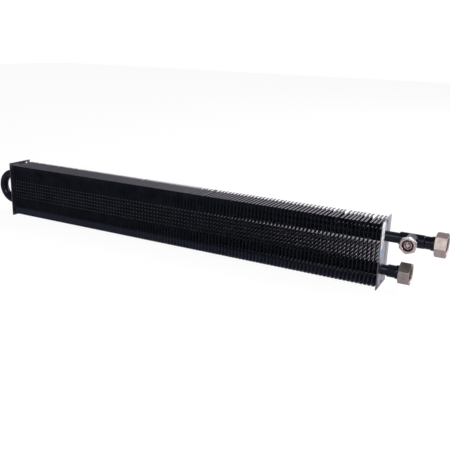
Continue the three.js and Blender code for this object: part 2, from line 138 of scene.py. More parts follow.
world_links.new(world_axes.outputs["Z"], above.inputs["Value"])
world_links.new(studio.outputs["Result"], dimmed.inputs[0])
world_links.new(above.outputs["Result"], dimmed.inputs[1])
world_links.new(dimmed.outputs[0], level.inputs[0])
world_links.new(seen.outputs["Is Camera Ray"], level.inputs[1])
world_links.new(level.outputs[0], background.inputs["Strength"])
world_links.new(seen.outputs["Is Camera Ray"], tint.inputs["Factor"])
world_links.new(tint.outputs["Result"], background.inputs["Color"])
print("the sweep is", LIGHT_OF_SWEEP, "bright and the room", LIGHT_OF_ROOM)

# %% Floor
FLOOR_SIZE = 12.0
FLOOR_DROP = 0.3 * MM
FLOOR_COLOUR = (0.78, 0.76, 0.82, 1.0)
VEIL_COLOUR = (0.12, 0.12, 0.12, 1.0)
FLOOR_GLOW = 0.93

bpy.ops.mesh.primitive_plane_add(size=FLOOR_SIZE, location=(0, 0, -FLOOR_DROP))
floor = bpy.context.object
floor.name = "floor"
floor_paint = bpy.data.materials.new("floor_paint")
floor_paint.use_nodes = True
floor_nodes = floor_paint.node_tree.nodes
floor_links = floor_paint.node_tree.links
floor_nodes.clear()
matt = floor_nodes.new("ShaderNodeBsdfDiffuse")
matt.inputs["Color"].default_value = FLOOR_COLOUR
veil = floor_nodes.new("ShaderNodeBsdfDiffuse")
veil.inputs["Color"].default_value = VEIL_COLOUR
glow = floor_nodes.new("ShaderNodeEmission")
glow.inputs["Strength"].default_value = FLOOR_GLOW
bright = floor_nodes.new("ShaderNodeAddShader")
choice = floor_nodes.new("ShaderNodeMixShader")
floor_output = floor_nodes.new("ShaderNodeOutputMaterial")
floor_links.new(veil.outputs[0], bright.inputs[0])
floor_links.new(glow.outputs[0], bright.inputs[1])
floor_seen = floor_nodes.new("ShaderNodeLightPath")
floor_links.new(floor_seen.outputs["Is Camera Ray"], choice.inputs[0])
floor_links.new(matt.outputs[0], choice.inputs[1])
floor_links.new(bright.outputs[0], choice.inputs[2])
floor_links.new(choice.outputs[0], floor_output.inputs["Surface"])
floor.data.materials.append(floor_paint)

# %% Lamps


def soft_lamp(name, place, target, size, power):
    """A square lamp that faces a point of the object."""
    bpy.ops.object.light_add(type="AREA", location=place)
    lamp = bpy.context.object
    lamp.name = name
    lamp.data.size = size
    lamp.data.energy = power
    aim = Vector(target) - Vector(place)
    lamp.rotation_euler = aim.to_track_quat("-Z", "Y").to_euler()


soft_lamp("key_lamp", (-0.45, -1.5, 0.75), (0.0, 0.0, 0.05), 0.28, 2.6)
soft_lamp("side_lamp", (1.5, -0.5, 0.8), (0.0, 0.0, 0.05), 0.7, 6.0)
soft_lamp("front_lamp", (0.4, -1.7, 1.3), (-0.1, 0.0, 0.05), 1.2, 13.0)
soft_lamp("back_lamp", (1.4, 1.5, 1.7), (0.0, 0.4, 0.0), 2.4, 62.0)

# %% [markdown]
# ## Finishes
#
# Every finish is built from a few layers of noise in object coordinates: one shifts the colour
# a little, one the gloss, and one gives a fine relief. Small helpers keep that short. A
# value that is the same all over is set on the shader itself.

# %% Helpers for finishes


def new_finish(name):
    """A node material and its shader."""
    finish = bpy.data.materials.new(name)
    finish.use_nodes = True
    return finish, finish.node_tree.nodes["Principled BSDF"]


def plain_values(shader, **values):
    """Sets values that are the same all over the surface. Underscores stand for spaces."""
    for key, value in values.items():
        shader.inputs[key.replace("_", " ")].default_value = value


def grain(finish, per_metre, stretch=(1.0, 1.0, 1.0), detail=3.0, offset=(0.0, 0.0, 0.0)):
    """Noise from 0 to 1. stretch squeezes it along each axis of the object."""
    nodes, links = finish.node_tree.nodes, finish.node_tree.links
    place = nodes.new("ShaderNodeTexCoord")
    mapping = nodes.new("ShaderNodeMapping")
    mapping.inputs["Scale"].default_value = stretch
    mapping.inputs["Location"].default_value = offset
    noise = nodes.new("ShaderNodeTexNoise")
    noise.inputs["Scale"].default_value = per_metre
    noise.inputs["Detail"].default_value = detail
    links.new(place.outputs["Object"], mapping.inputs["Vector"])
    links.new(mapping.outputs["Vector"], noise.inputs["Vector"])
    return noise.outputs["Fac"]


def colour_from(finish, shader, value, *stops):
    """Sends a value through a colour ramp into the base colour."""
    nodes, links = finish.node_tree.nodes, finish.node_tree.links
    ramp = nodes.new("ShaderNodeValToRGB")
    elements = ramp.color_ramp.elements
    while len(elements) < len(stops):
        elements.new(0.5)
    for element, (position, colour) in zip(elements, stops):
        element.position = position
        element.color = (*colour, 1.0)
    links.new(value, ramp.inputs["Fac"])
    links.new(ramp.outputs["Color"], shader.inputs["Base Color"])


def spread(finish, value, start, end, low=0.0, high=1.0):
    """Maps the span from start to end of a value onto low to high."""
    nodes, links = finish.node_tree.nodes, finish.node_tree.links
    span = nodes.new("ShaderNodeMapRange")
    for key, number in (("From Min", start), ("From Max", end), ("To Min", low), ("To Max", high)):
        span.inputs[key].default_value = number
    links.new(value, span.inputs["Value"])
    return span.outputs["Result"]


def roughness_from(finish, shader, value, low, high):
    """Spreads a value over a span of roughness."""
    spans = spread(finish, value, 0.3, 0.7, low, high)
    finish.node_tree.links.new(spans, shader.inputs["Roughness"])


def relief_from(finish, shader, value, depth):
    """Turns a value into a relief of the given depth in metres."""
    nodes, links = finish.node_tree.nodes, finish.node_tree.links
    bump = nodes.new("ShaderNodeBump")
    bump.inputs["Distance"].default_value = depth
    bump.inputs["Strength"].default_value = 1.0
    links.new(value, bump.inputs["Height"])
    links.new(bump.outputs["Normal"], shader.inputs["Normal"])


# %% [markdown]
# Some finishes change from place to place, such as paint that is rubbed thin. For these, a mask is
# worked out from the coordinates of the object. It is 1 where the second colour lies.

# %% Masks


def coordinate(finish, letter):
    """One coordinate of the object in metres."""
    nodes, links = finish.node_tree.nodes, finish.node_tree.links
    place = nodes.new("ShaderNodeTexCoord")
    axes = nodes.new("ShaderNodeSeparateXYZ")
    links.new(place.outputs["Object"], axes.inputs[0])
    return axes.outputs[letter]


def reckon(finish, operation, *values):
    """One step of arithmetic with numbers or with the values of other steps."""
    nodes, links = finish.node_tree.nodes, finish.node_tree.links
    step = nodes.new("ShaderNodeMath")
    step.operation = operation
    for socket, value in zip(step.inputs, values):
        if isinstance(value, float):
            socket.default_value = value
        else:
            links.new(value, socket)
    return step.outputs[0]


def paint_over(finish, mask, colour):
    """Lays a second colour over the first where the mask is 1."""
    nodes, links = finish.node_tree.nodes, finish.node_tree.links
    base = nodes["Principled BSDF"].inputs["Base Color"]
    layer = nodes.new("ShaderNodeMix")
    layer.data_type = "RGBA"
    layer.inputs["B"].default_value = (*colour, 1.0)
    links.new(base.links[0].from_socket, layer.inputs["A"])
    links.new(mask, layer.inputs["Factor"])
    links.new(layer.outputs["Result"], base)


# %% [markdown]
# The fins, plates and pipes share one kind of finish: a very dark blue-grey lacquer. Seen face
# on it is almost black. Seen at a slant it mirrors the white room and looks lavender-grey, as the
# outer face of the near plate does. That change comes from the gloss, not from the colour.

# %% Lacquers


def lacquer(name, dark, light, gloss, coat, index=1.5, orange_peel=0.02 * MM):
    """A dark semi-gloss coat: cloudy colour, uneven gloss and a faint orange peel."""
    finish, shader = new_finish(name)
    colour_from(finish, shader, grain(finish, 60.0), (0.35, dark), (0.7, light))
    roughness_from(finish, shader, grain(finish, 220.0, offset=(3.0, 1.0, 0.0)), *gloss)
    relief_from(finish, shader, grain(finish, 900.0, detail=2.0), orange_peel)
    plain_values(shader, Coat_Weight=coat, Coat_Roughness=0.12, IOR=index)
    return finish


pipe_lacquer = lacquer(
    "pipe_lacquer", (0.004, 0.006, 0.014), (0.008, 0.011, 0.024), (0.16, 0.26), 0.0, 1.3
)
fin_lacquer = lacquer(
    "fin_lacquer", (0.014, 0.017, 0.024), (0.023, 0.027, 0.037), (0.09, 0.15), 0.0, 1.33
)
plate_lacquer = lacquer(
    "plate_lacquer", (0.030, 0.027, 0.040), (0.038, 0.035, 0.050), (0.26, 0.36), 1.0, 1.7
)
print("lacquers:", pipe_lacquer.name, fin_lacquer.name, plate_lacquer.name)

# %% [markdown]
# On the fins the lacquer is not even. Below each pressed crest between the tubes, a band of bright bare
# metal is painted in. It is a painted highlight that stands in for the rows of short bright glints on
# the crests. The top faces of the upper lips are painted a lighter lavender-grey, as painted sheen
# where the light from above falls on them. The crests follow each other every 6 mm, so their mask
# repeats: it looks at the rest that is left when the height is divided by that step. Close to the upper
# and the lower edge the lacquer is matt, and below 16 mm it is painted a lighter, bluer tone.

# %% Painted glints below the crests, matt edges, lower tone and painted sheen on the lips
CREST_STEP = 6.0
GLINT_FOOT = -0.8
GLINT_TOP = 1.2
LOWEST_GLINT = 34.5
HIGHEST_GLINT = 68.5
GLINT_HALF_DEPTH = (17.0, 21.0)
# Bright bare metal painted below the crests: a painted highlight for the rows of crest glints.
PAINTED_GLINT_METAL = (0.86, 0.85, 0.90)
MATT_ABOVE = 84.0
MATT_BELOW = 16.0
MATT_GLOSS = 0.0
# The lighter, bluer tone that is painted on the fins below 16 mm.
LOWER_EDGE_TONE = (0.066, 0.073, 0.108)
# Above this height the lips' top faces are painted lavender-grey: painted sheen of the light from
# above.
LIP_SHEEN_HEIGHT = 96.35
LIP_SHEEN = (0.105, 0.094, 0.126)
GLINT_BLUR = 0.3
MATT_BLUR = 2.0
LIP_SHEEN_BLUR = 0.15
USUAL_GLOSS = 0.5

fin_height = coordinate(fin_lacquer, "Z")
from_foot = reckon(fin_lacquer, "SUBTRACT", fin_height, GLINT_FOOT * MM)
above_foot = reckon(fin_lacquer, "MODULO", from_foot, CREST_STEP * MM)
glint_height = GLINT_TOP - GLINT_FOOT
painted_glints = reckon(
    fin_lacquer,
    "MULTIPLY",
    spread(fin_lacquer, above_foot, 0.0, GLINT_BLUR * MM),
    spread(
        fin_lacquer, above_foot, (glint_height - GLINT_BLUR) * MM, glint_height * MM, 1.0, 0.0
    ),
)
below_tube = spread(
    fin_lacquer, fin_height, HIGHEST_GLINT * MM, (HIGHEST_GLINT + GLINT_BLUR) * MM, 1.0, 0.0
)
above_tube = spread(fin_lacquer, fin_height, (LOWEST_GLINT - GLINT_BLUR) * MM, LOWEST_GLINT * MM)
fin_side = reckon(fin_lacquer, "ABSOLUTE", coordinate(fin_lacquer, "Y"))
inward = spread(fin_lacquer, fin_side, *[side * MM for side in GLINT_HALF_DEPTH], 1.0, 0.0)
between_tubes = reckon(fin_lacquer, "MULTIPLY", below_tube, above_tube)
painted_glints = reckon(fin_lacquer, "MULTIPLY", painted_glints, reckon(fin_lacquer, "MULTIPLY", between_tubes, inward))
matt_low = spread(
    fin_lacquer, fin_height, (MATT_BELOW - MATT_BLUR) * MM, (MATT_BELOW + MATT_BLUR) * MM, 1.0, 0.0
)
matt_high = spread(
    fin_lacquer, fin_height, (MATT_ABOVE - MATT_BLUR) * MM, (MATT_ABOVE + MATT_BLUR) * MM
)
matt_edges = reckon(fin_lacquer, "ADD", matt_low, matt_high)
lit_lip_tops = spread(fin_lacquer, fin_height, LIP_SHEEN_HEIGHT * MM, (LIP_SHEEN_HEIGHT + LIP_SHEEN_BLUR) * MM)
glossy = reckon(fin_lacquer, "MAXIMUM", reckon(fin_lacquer, "SUBTRACT", 1.0, matt_edges), lit_lip_tops)
# A lighter, bluer tone is painted below 16 mm.
paint_over(fin_lacquer, matt_low, LOWER_EDGE_TONE)
# Painted highlight: bright metal bands below the crests between the tubes.
paint_over(fin_lacquer, painted_glints, PAINTED_GLINT_METAL)
# Painted sheen on the top faces of the upper lips.
paint_over(fin_lacquer, lit_lip_tops, LIP_SHEEN)
fin_shader = fin_lacquer.node_tree.nodes["Principled BSDF"]
fin_lacquer.node_tree.links.new(painted_glints, fin_shader.inputs["Metallic"])
gloss_level = spread(fin_lacquer, glossy, 0.0, 1.0, MATT_GLOSS, USUAL_GLOSS)
fin_lacquer.node_tree.links.new(gloss_level, fin_shader.inputs["Specular IOR Level"])

# %% [markdown]
# The nuts are brass with a dull, slightly pink nickel plate. Fine scratches run round them from
# turning and handling. The vent has the same plate, polished. Both are plain metals whose noise is
# squeezed into lines.

# %% Metals


def plated(name, dark, light, gloss, lines, scratch_depth):
    """Nickel plate on brass, with clouds in its colour and fine lines from the lathe."""
    finish, shader = new_finish(name)
    colour_from(finish, shader, grain(finish, 130.0), (0.3, dark), (0.7, light))
    roughness_from(finish, shader, grain(finish, 300.0, offset=(0.0, 2.0, 5.0)), *gloss)
    relief_from(finish, shader, grain(finish, 500.0, stretch=lines), scratch_depth)
    plain_values(shader, Metallic=1.0)
    return finish


dull_nickel = plated(
    "dull_nickel", (0.36, 0.30, 0.28), (0.50, 0.43, 0.40), (0.34, 0.48), (8.0, 1.0, 1.0), 0.02 * MM
)
bright_nickel = plated(
    "bright_nickel", (0.50, 0.43, 0.41), (0.66, 0.59, 0.57), (0.14, 0.26), (1.0, 6.0, 1.0), 0.01 * MM
)
spring_steel = plated(
    "spring_steel", (0.38, 0.39, 0.41), (0.52, 0.53, 0.55), (0.28, 0.40), (1.0, 5.0, 5.0), 0.01 * MM
)

# %% Fibre and rubber
FIBRE_DARK = (0.07, 0.04, 0.028)
FIBRE_LIGHT = (0.14, 0.09, 0.06)
RUBBER_DARK = (0.012, 0.012, 0.013)
RUBBER_LIGHT = (0.022, 0.022, 0.024)

fibre, fibre_shader = new_finish("pressed_fibre")
colour_from(fibre, fibre_shader, grain(fibre, 800.0), (0.3, FIBRE_DARK), (0.7, FIBRE_LIGHT))
roughness_from(fibre, fibre_shader, grain(fibre, 500.0), 0.75, 0.9)
relief_from(fibre, fibre_shader, grain(fibre, 1500.0), 0.05 * MM)

rubber, rubber_shader = new_finish("black_rubber")
colour_from(rubber, rubber_shader, grain(rubber, 400.0), (0.3, RUBBER_DARK), (0.7, RUBBER_LIGHT))
roughness_from(rubber, rubber_shader, grain(rubber, 700.0), 0.55, 0.7)
relief_from(rubber, rubber_shader, grain(rubber, 1200.0), 0.02 * MM)

# %% [markdown]
# ## Helpers for shaping
#
# All pieces are shaped the way a hand would do it: a primitive, a few steps in edit mode, then a
# modifier or two. A few small helpers cover most of it. Parts of a mesh are selected by
# their place and direction, because there is no mouse to point with.

# %% Selecting


def only(piece):
    """Selects one object alone and makes it the active one."""
    bpy.ops.object.select_all(action="DESELECT")
    piece.select_set(True)
    bpy.context.view_layer.objects.active = piece


def parts_of(piece, kind):
    """The parts of a mesh, each with its middle and its direction."""
    mesh = piece.data
    if kind == "FACE":
        return [(face, face.center, face.normal) for face in mesh.polygons]
    points = mesh.vertices
    if kind == "VERT":
        return [(point, point.co, point.normal) for point in points]
    ends = [(edge, points[edge.vertices[0]].co, points[edge.vertices[1]].co) for edge in mesh.edges]
    return [(edge, (a + b) / 2, (b - a).normalized()) for edge, a, b in ends]


def choose(piece, kind, test):
    """Enters edit mode with those parts selected whose middle and direction pass a test."""
    only(piece)
    bpy.ops.object.mode_set(mode="EDIT")
    bpy.ops.mesh.select_mode(type=kind)
    bpy.ops.mesh.select_all(action="DESELECT")
    bpy.ops.object.mode_set(mode="OBJECT")
    for part, middle, direction in parts_of(piece, kind):
        part.select = test(middle, direction)
    bpy.ops.object.mode_set(mode="EDIT")


def leave_edit_mode():
    bpy.ops.object.mode_set(mode="OBJECT")


# %% Modifiers


def modify(piece, kind, **settings):
    """Adds a modifier and applies it."""
    only(piece)
    modifier = piece.modifiers.new(kind.title(), kind)
    for key, value in settings.items():
        setattr(modifier, key, value)
    bpy.ops.object.modifier_apply(modifier=modifier.name)


def combine(piece, tool, operation):
    """Joins, cuts or intersects a piece with a tool, which is used up."""
    modify(piece, "BOOLEAN", operation=operation, solver="EXACT", object=tool)
    bpy.data.objects.remove(tool, do_unlink=True)


def soften(piece, width, segments=2, angle=30.0):
    """Rounds the sharp edges a little and smooths the rest."""
    modify(piece, "BEVEL", width=width, segments=segments, limit_method="ANGLE",
           angle_limit=math.radians(angle), harden_normals=False)
    smooth(piece, angle)


def smooth(piece, angle=35.0):
    only(piece)
    bpy.ops.object.shade_smooth_by_angle(angle=math.radians(angle))


# %% Turning on a lathe


def name_it(piece, name):
    piece.name = name
    piece.data.name = name


def settle():
    """Puts the active object's place into its mesh, so the object itself sits at the origin."""
    bpy.ops.object.transform_apply(location=True, rotation=True, scale=True)


def turned(name, line, origin, axis, start, steps=48):
    """Turns a line of (distance along the axis, radius) points round the axis.

    The points are in millimetres from the origin. start is the direction of the first cut, which
    is where a turning of few steps has a corner.
    """
    points = [origin + (axis * along + start * radius) * MM for along, radius in line]
    bpy.ops.mesh.primitive_plane_add(size=MM, location=points[0])
    piece = bpy.context.object
    name_it(piece, name)
    settle()
    only(piece)
    bpy.ops.object.mode_set(mode="EDIT")
    bpy.ops.mesh.select_mode(type="VERT")
    bpy.ops.mesh.select_all(action="SELECT")
    bpy.ops.mesh.merge(type="CENTER")
    for before, after in zip(points, points[1:]):
        bpy.ops.mesh.extrude_vertices_move(TRANSFORM_OT_translate={"value": after - before})
    bpy.ops.mesh.select_all(action="SELECT")
    bpy.ops.mesh.spin(steps=steps, angle=2 * math.pi, center=origin, axis=axis)
    bpy.ops.mesh.select_all(action="SELECT")
    bpy.ops.mesh.remove_doubles(threshold=0.002 * MM)
    bpy.ops.mesh.normals_make_consistent(inside=False)
    leave_edit_mode()
    return piece


# %% Handing a piece over to the frame


def hand_over(piece, node, body, finish):
    """Gives a finished piece its material and its body, and hides the CAD node that it stands for."""
    piece.data.materials.clear()
    piece.data.materials.append(finish)
    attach(piece, body)
    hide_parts(node)
    print(piece.name, "has", len(piece.data.polygons), "faces")


# %% [markdown]
# ## End plates
#
# Each end plate is a rectangle of 1.5 mm sheet, 50 mm deep and 100 mm high, with two holes for
# the tubes and two small ones for fixing screws. A box is the natural start. The holes are cut with
# round tools, and then the edges get the small radius that paint leaves on a sheared sheet.
# At the far plate the tubes' widened ends pass through, so its tube holes are wider and its fixing
# holes stand beside them, towards the back.

# %% End plates
ALONG = Vector((1.0, 0.0, 0.0))
FRONTWARD = Vector((0.0, -1.0, 0.0))
UPWARD = Vector((0.0, 0.0, 1.0))
FLOW_HEIGHT = 74.0
RETURN_HEIGHT = 24.0
CONNECTION_TUBE_HOLE = 7.8
BEND_TUBE_HOLE = 9.1
FIXING_HOLE_RADIUS = 2.5
FIXING_HOLE_HEIGHTS = (5.4, 94.6)
BEND_FIXING_HOLE_SIDE = 17.0


def box_over(name, low, high):
    """A box primitive between two corners."""
    low, high = Vector(low), Vector(high)
    bpy.ops.mesh.primitive_cube_add(size=1.0, location=(low + high) / 2)
    piece = bpy.context.object
    piece.scale = high - low
    name_it(piece, name)
    settle()
    return piece


def round_tool(low, high, height, radius, sides=48, side=0.0):
    """A round bar along X that cuts a hole. side is its distance behind the tubes' plane."""
    bpy.ops.mesh.primitive_cylinder_add(
        vertices=sides,
        radius=radius * MM,
        depth=(high - low) * MM,
        location=Vector(((low + high) / 2, side, height)) * MM,
        rotation=(0.0, math.pi / 2, 0.0),
    )
    tool = bpy.context.object
    settle()
    return tool


def end_plate(node, tube_hole_radius, fixing_hole_side):
    low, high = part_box(node)
    plate = box_over(node + "_sheet", low, high)
    reach = (low.x / MM - 1.0, high.x / MM + 1.0)
    for height in (FLOW_HEIGHT, RETURN_HEIGHT):
        combine(plate, round_tool(*reach, height, tube_hole_radius), "DIFFERENCE")
    for height in FIXING_HOLE_HEIGHTS:
        hole = round_tool(*reach, height, FIXING_HOLE_RADIUS, side=fixing_hole_side)
        combine(plate, hole, "DIFFERENCE")
    soften(plate, 0.22 * MM)
    hand_over(plate, node, "block", plate_lacquer)


end_plate("end_plate_connection", CONNECTION_TUBE_HOLE, 0.0)
end_plate("end_plate_bend", BEND_TUBE_HOLE, BEND_FIXING_HOLE_SIDE)

# %% [markdown]
# ## Fins
#
# A fin is a 0.4 mm aluminium sheet with two drawn collars that space it from the next one. Its
# upper and lower edges are folded over into lips, which partly close the gaps between the fins,
# and the sheet is pressed into a zigzag that stirs the air. It starts as one flat face, which is
# cut into bands. Every crest of the zigzag is then pulled out by less than a millimetre, and a
# line below it by a little less, so that the side below the crest is rounded. That side leans
# downwards and mirrors the bright floor behind the block. The lips are pulled out of the outer
# edges, and last the sheet gets its thickness.

# %% One pressed sheet
FIN_LOW = 4.6
FIN_HIGH = 96.6
FIN_HALF_DEPTH = 24.0
FIN_THICKNESS = 0.4
UPPER_LIP_WIDTH = 3.2
LOWER_LIP_WIDTH = 4.4
LIP_FOLD = 0.4
LONG_CREST_HEIGHTS = (37.0, 43.0, 49.0, 55.0, 61.0)
SHORT_CREST_HEIGHTS = (19.0, 25.0, 31.0, 67.0, 73.0, 79.0, 85.0)
CREST_BELOW = 2.7
CREST_ABOVE = 3.1
CREST_RISE = 0.65
KNEE_BELOW = 1.35
KNEE_RISE = 0.42
CREST_OUTER_END = 21.5
CREST_INNER_END = 12.0
CREST_END_SLOPE = 1.0


def cut_across(heights, direction):
    """Cuts the selected faces along flat planes at these distances from the origin."""
    for height in heights:
        bpy.ops.mesh.select_all(action="SELECT")
        bpy.ops.mesh.bisect(plane_co=direction * height * MM, plane_no=direction)


def pressed_sheet():
    inset = FIN_THICKNESS / 2 + LIP_FOLD
    bpy.ops.mesh.primitive_plane_add(
        size=1.0,
        location=Vector((0.0, 0.0, (FIN_LOW + FIN_HIGH) / 2)) * MM,
        rotation=(0.0, math.pi / 2, 0.0),
    )
    sheet = bpy.context.object
    name_it(sheet, "fin")
    sheet.scale = Vector((FIN_HIGH - FIN_LOW - 2 * inset, 2 * FIN_HALF_DEPTH, 1.0)) * MM
    settle()
    only(sheet)
    bpy.ops.object.mode_set(mode="EDIT")
    rows = LONG_CREST_HEIGHTS + SHORT_CREST_HEIGHTS
    steps = (-CREST_BELOW, -KNEE_BELOW, 0.0, CREST_ABOVE)
    cut_across([row + step for row in rows for step in steps], UPWARD)
    ends = (
        CREST_INNER_END - CREST_END_SLOPE,
        CREST_INNER_END,
        CREST_OUTER_END,
        CREST_OUTER_END + CREST_END_SLOPE,
    )
    cut_across([side * end for side in (-1, 1) for end in ends], FRONTWARD)
    leave_edit_mode()
    return sheet


def on_a_line(point, below):
    """Whether a point lies on a line that runs this far below a crest of the zigzag."""
    side = abs(point.y) / MM
    height = point.z / MM + below
    long_row = any(abs(height - row) < 0.02 for row in LONG_CREST_HEIGHTS)
    short_row = any(abs(height - row) < 0.02 for row in SHORT_CREST_HEIGHTS)
    inside = side < CREST_OUTER_END + 0.01
    return inside and (long_row or (short_row and side > CREST_INNER_END - 0.01))


fin = pressed_sheet()
for below, rise in ((0.0, CREST_RISE), (KNEE_BELOW, KNEE_RISE)):
    choose(fin, "VERT", lambda point, normal: on_a_line(point, below))
    bpy.ops.transform.translate(value=ALONG * rise * MM)
    leave_edit_mode()
lips = ((1.0, FIN_HIGH, UPPER_LIP_WIDTH), (-1.0, FIN_LOW, LOWER_LIP_WIDTH))
for direction, edge_height, width in lips:
    outermost = edge_height - direction * (FIN_THICKNESS / 2 + LIP_FOLD)
    choose(fin, "EDGE", lambda middle, along: abs(middle.z / MM - outermost) < 0.01)
    fold = Vector((LIP_FOLD, 0.0, direction * LIP_FOLD)) * MM
    bpy.ops.mesh.extrude_edges_move(TRANSFORM_OT_translate={"value": fold})
    lip = ALONG * (width - LIP_FOLD) * MM
    bpy.ops.mesh.extrude_edges_move(TRANSFORM_OT_translate={"value": lip})
    leave_edit_mode()
only(fin)
bpy.ops.object.mode_set(mode="EDIT")
bpy.ops.mesh.select_all(action="SELECT")
bpy.ops.mesh.dissolve_limited(angle_limit=math.radians(2.0))
bpy.ops.mesh.normals_make_consistent(inside=False)
leave_edit_mode()
modify(fin, "SOLIDIFY", thickness=FIN_THICKNESS * MM, offset=0.0, use_even_offset=True)
print("pressed sheet has", len(fin.data.polygons), "faces")

# %% [markdown]
# The collars are drawn out of the sheet round each tube hole. Each is a short turned sleeve with
# a flared root. They are added to the sheet once, and the whole fin is then copied.

# %% Holes and collars
COLLAR_BORE = 7.8
COLLAR_OUTER = 8.6
COLLAR_FLARE = 9.6
FIN_PITCH = 6.0

for height in (FLOW_HEIGHT, RETURN_HEIGHT):
    combine(fin, round_tool(-3.0, 3.0, height, COLLAR_BORE, 20), "DIFFERENCE")
collars = []
for height in (FLOW_HEIGHT, RETURN_HEIGHT):
    collar_line = [
        (0.0, COLLAR_BORE),
        (0.1, COLLAR_FLARE),
        (0.9, COLLAR_OUTER),
        (FIN_PITCH - 0.3, COLLAR_OUTER),
        (FIN_PITCH - 0.3, COLLAR_BORE),
        (0.0, COLLAR_BORE),
    ]
    middle = Vector((0.0, 0.0, height)) * MM
    collars.append(turned("collar", collar_line, middle, ALONG, UPWARD, steps=20))
only(fin)
for collar in collars:
    collar.select_set(True)
bpy.ops.object.join()
smooth(fin, 20.0)
print("one fin has", len(fin.data.polygons), "faces")

# %% [markdown]
# Handling leaves the thin fins less than perfect. Near the pipes whole groups of them lean one way
# or the other, which opens two wide gaps in the row, and the rest lean a little by chance. Each
# copy gets its own push at the top. The chance comes from a seeded source, so the fins lean alike in
# every run.

# %% Packs of fins
FINS_PER_PACK = 23
LEAN_FROM = 78.0
PUSHES_NEAR_THE_PIPES = (-1.1, -0.4, 0.4, -1.9, -1.4, -1.5, -0.6, 0.7, 1.4, 1.8, -1.3, 0.0, 0.6)
PUSHES_FARTHER_ON = {47: -1.4, 48: 0.9, 52: -1.0, 71: 1.3, 96: -1.2}
FRONT_SHARE = 0.6
CHANCE_PUSH = 0.3
chance = random.Random(42)


def push_of(from_connection):
    """How far the top of a fin leans, in millimetres, counted from the connection plate."""
    if from_connection <= len(PUSHES_NEAR_THE_PIPES):
        return PUSHES_NEAR_THE_PIPES[from_connection - 1]
    return PUSHES_FARTHER_ON.get(from_connection, 0.0)


def lean(copy, push_front, push_back):
    """Pushes the top of a fin along the block, the front and the back corner each by its own."""
    for point in copy.data.vertices:
        height = point.co.z / MM
        if height > LEAN_FROM:
            share = (height - LEAN_FROM) / (FIN_HIGH - LEAN_FROM)
            across = point.co.y / MM / (2 * FIN_HALF_DEPTH) + 0.5
            push = push_front * (1.0 - across) + push_back * across
            point.co.x += push * share * share * MM


def fin_pack(number):
    node = f"fin_pack_{number}"
    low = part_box(node)[0]
    copies = []
    for place in range(FINS_PER_PACK):
        copy = fin.copy()
        copy.data = fin.data.copy()
        bpy.context.collection.objects.link(copy)
        from_connection = (number - 1) * FINS_PER_PACK + FINS_PER_PACK - place
        push = push_of(from_connection)
        push_front = FRONT_SHARE * push + chance.uniform(-CHANCE_PUSH, CHANCE_PUSH)
        push_back = push + chance.uniform(-CHANCE_PUSH, CHANCE_PUSH)
        lean(copy, push_front, push_back)
        copy.location.x = low.x + (FIN_THICKNESS / 2 + place * FIN_PITCH) * MM
        copies.append(copy)
    only(copies[0])
    for copy in copies:
        copy.select_set(True)
    bpy.ops.object.join()
    settle()
    pack = bpy.context.object
    name_it(pack, f"fins_{number}")
    hand_over(pack, node, "block", fin_lacquer)


for number in range(1, 6):
    fin_pack(number)
bpy.data.objects.remove(fin, do_unlink=True)

# %% [markdown]
# ## Tubes and return bend
#
# The tubes are turned from their outline: a straight wall that widens at the far end to take
# the bend. The bend itself starts as a ring of edges, which is pulled straight, spun through half
# a turn, and pulled straight again, as the tube would run through a bending tool. Its wall comes
# last, inwards.

# %% Tubes
TUBE_RADIUS = 7.5
BORE_RADIUS = 6.5
SOCKET_RADIUS = 7.8
BELL_RADIUS = 8.8
BELL_LENGTH = 10.0


def tube(node, height):
    low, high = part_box(node)
    bell_end = low.x / MM
    bell_start = bell_end + BELL_LENGTH
    end = high.x / MM
    line = [
        (end, BORE_RADIUS),
        (bell_start, BORE_RADIUS),
        (bell_start, SOCKET_RADIUS),
        (bell_end, SOCKET_RADIUS),
        (bell_end, BELL_RADIUS),
        (bell_start + 0.6, BELL_RADIUS),
        (bell_start + 1.4, BELL_RADIUS - 0.5),
        (bell_start + 2.2, TUBE_RADIUS),
        (end, TUBE_RADIUS),
        (end, BORE_RADIUS),
    ]
    piece = turned(node + "_pipe", line, Vector((0.0, 0.0, height)) * MM, ALONG, UPWARD)
    soften(piece, 0.2 * MM)
    hand_over(piece, node, "block", pipe_lacquer)


tube("flow_tube", FLOW_HEIGHT)
tube("return_tube", RETURN_HEIGHT)

# %% Return bend
BEND_CENTRE_X = -718.25
BEND_SIDES = 40
BEND_STEPS = 36

bend_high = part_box("return_bend")[1]
leg = bend_high.x - BEND_CENTRE_X * MM
bpy.ops.mesh.primitive_circle_add(
    vertices=BEND_SIDES,
    radius=TUBE_RADIUS * MM,
    location=(bend_high.x, 0.0, FLOW_HEIGHT * MM),
    rotation=(0.0, math.pi / 2, 0.0),
)
bend = bpy.context.object
name_it(bend, "hairpin_bend")
settle()
only(bend)
bpy.ops.object.mode_set(mode="EDIT")
bpy.ops.mesh.select_mode(type="EDGE")
bpy.ops.mesh.select_all(action="SELECT")
bpy.ops.mesh.extrude_edges_move(TRANSFORM_OT_translate={"value": -ALONG * leg})
bpy.ops.mesh.spin(
    steps=BEND_STEPS,
    angle=math.pi,
    center=Vector((BEND_CENTRE_X, 0.0, (FLOW_HEIGHT + RETURN_HEIGHT) / 2)) * MM,
    axis=(0.0, 1.0, 0.0),
)
bpy.ops.mesh.extrude_edges_move(TRANSFORM_OT_translate={"value": ALONG * leg})
bpy.ops.mesh.select_all(action="SELECT")
bpy.ops.mesh.remove_doubles(threshold=0.002 * MM)
bpy.ops.mesh.normals_make_consistent(inside=False)
leave_edit_mode()
modify(bend, "SOLIDIFY", thickness=(TUBE_RADIUS - BORE_RADIUS) * MM, offset=-1.0)
smooth(bend)
print("bend spans", [round(size / MM, 1) for size in bend.dimensions], "mm")
hand_over(bend, "return_bend", "block", pipe_lacquer)

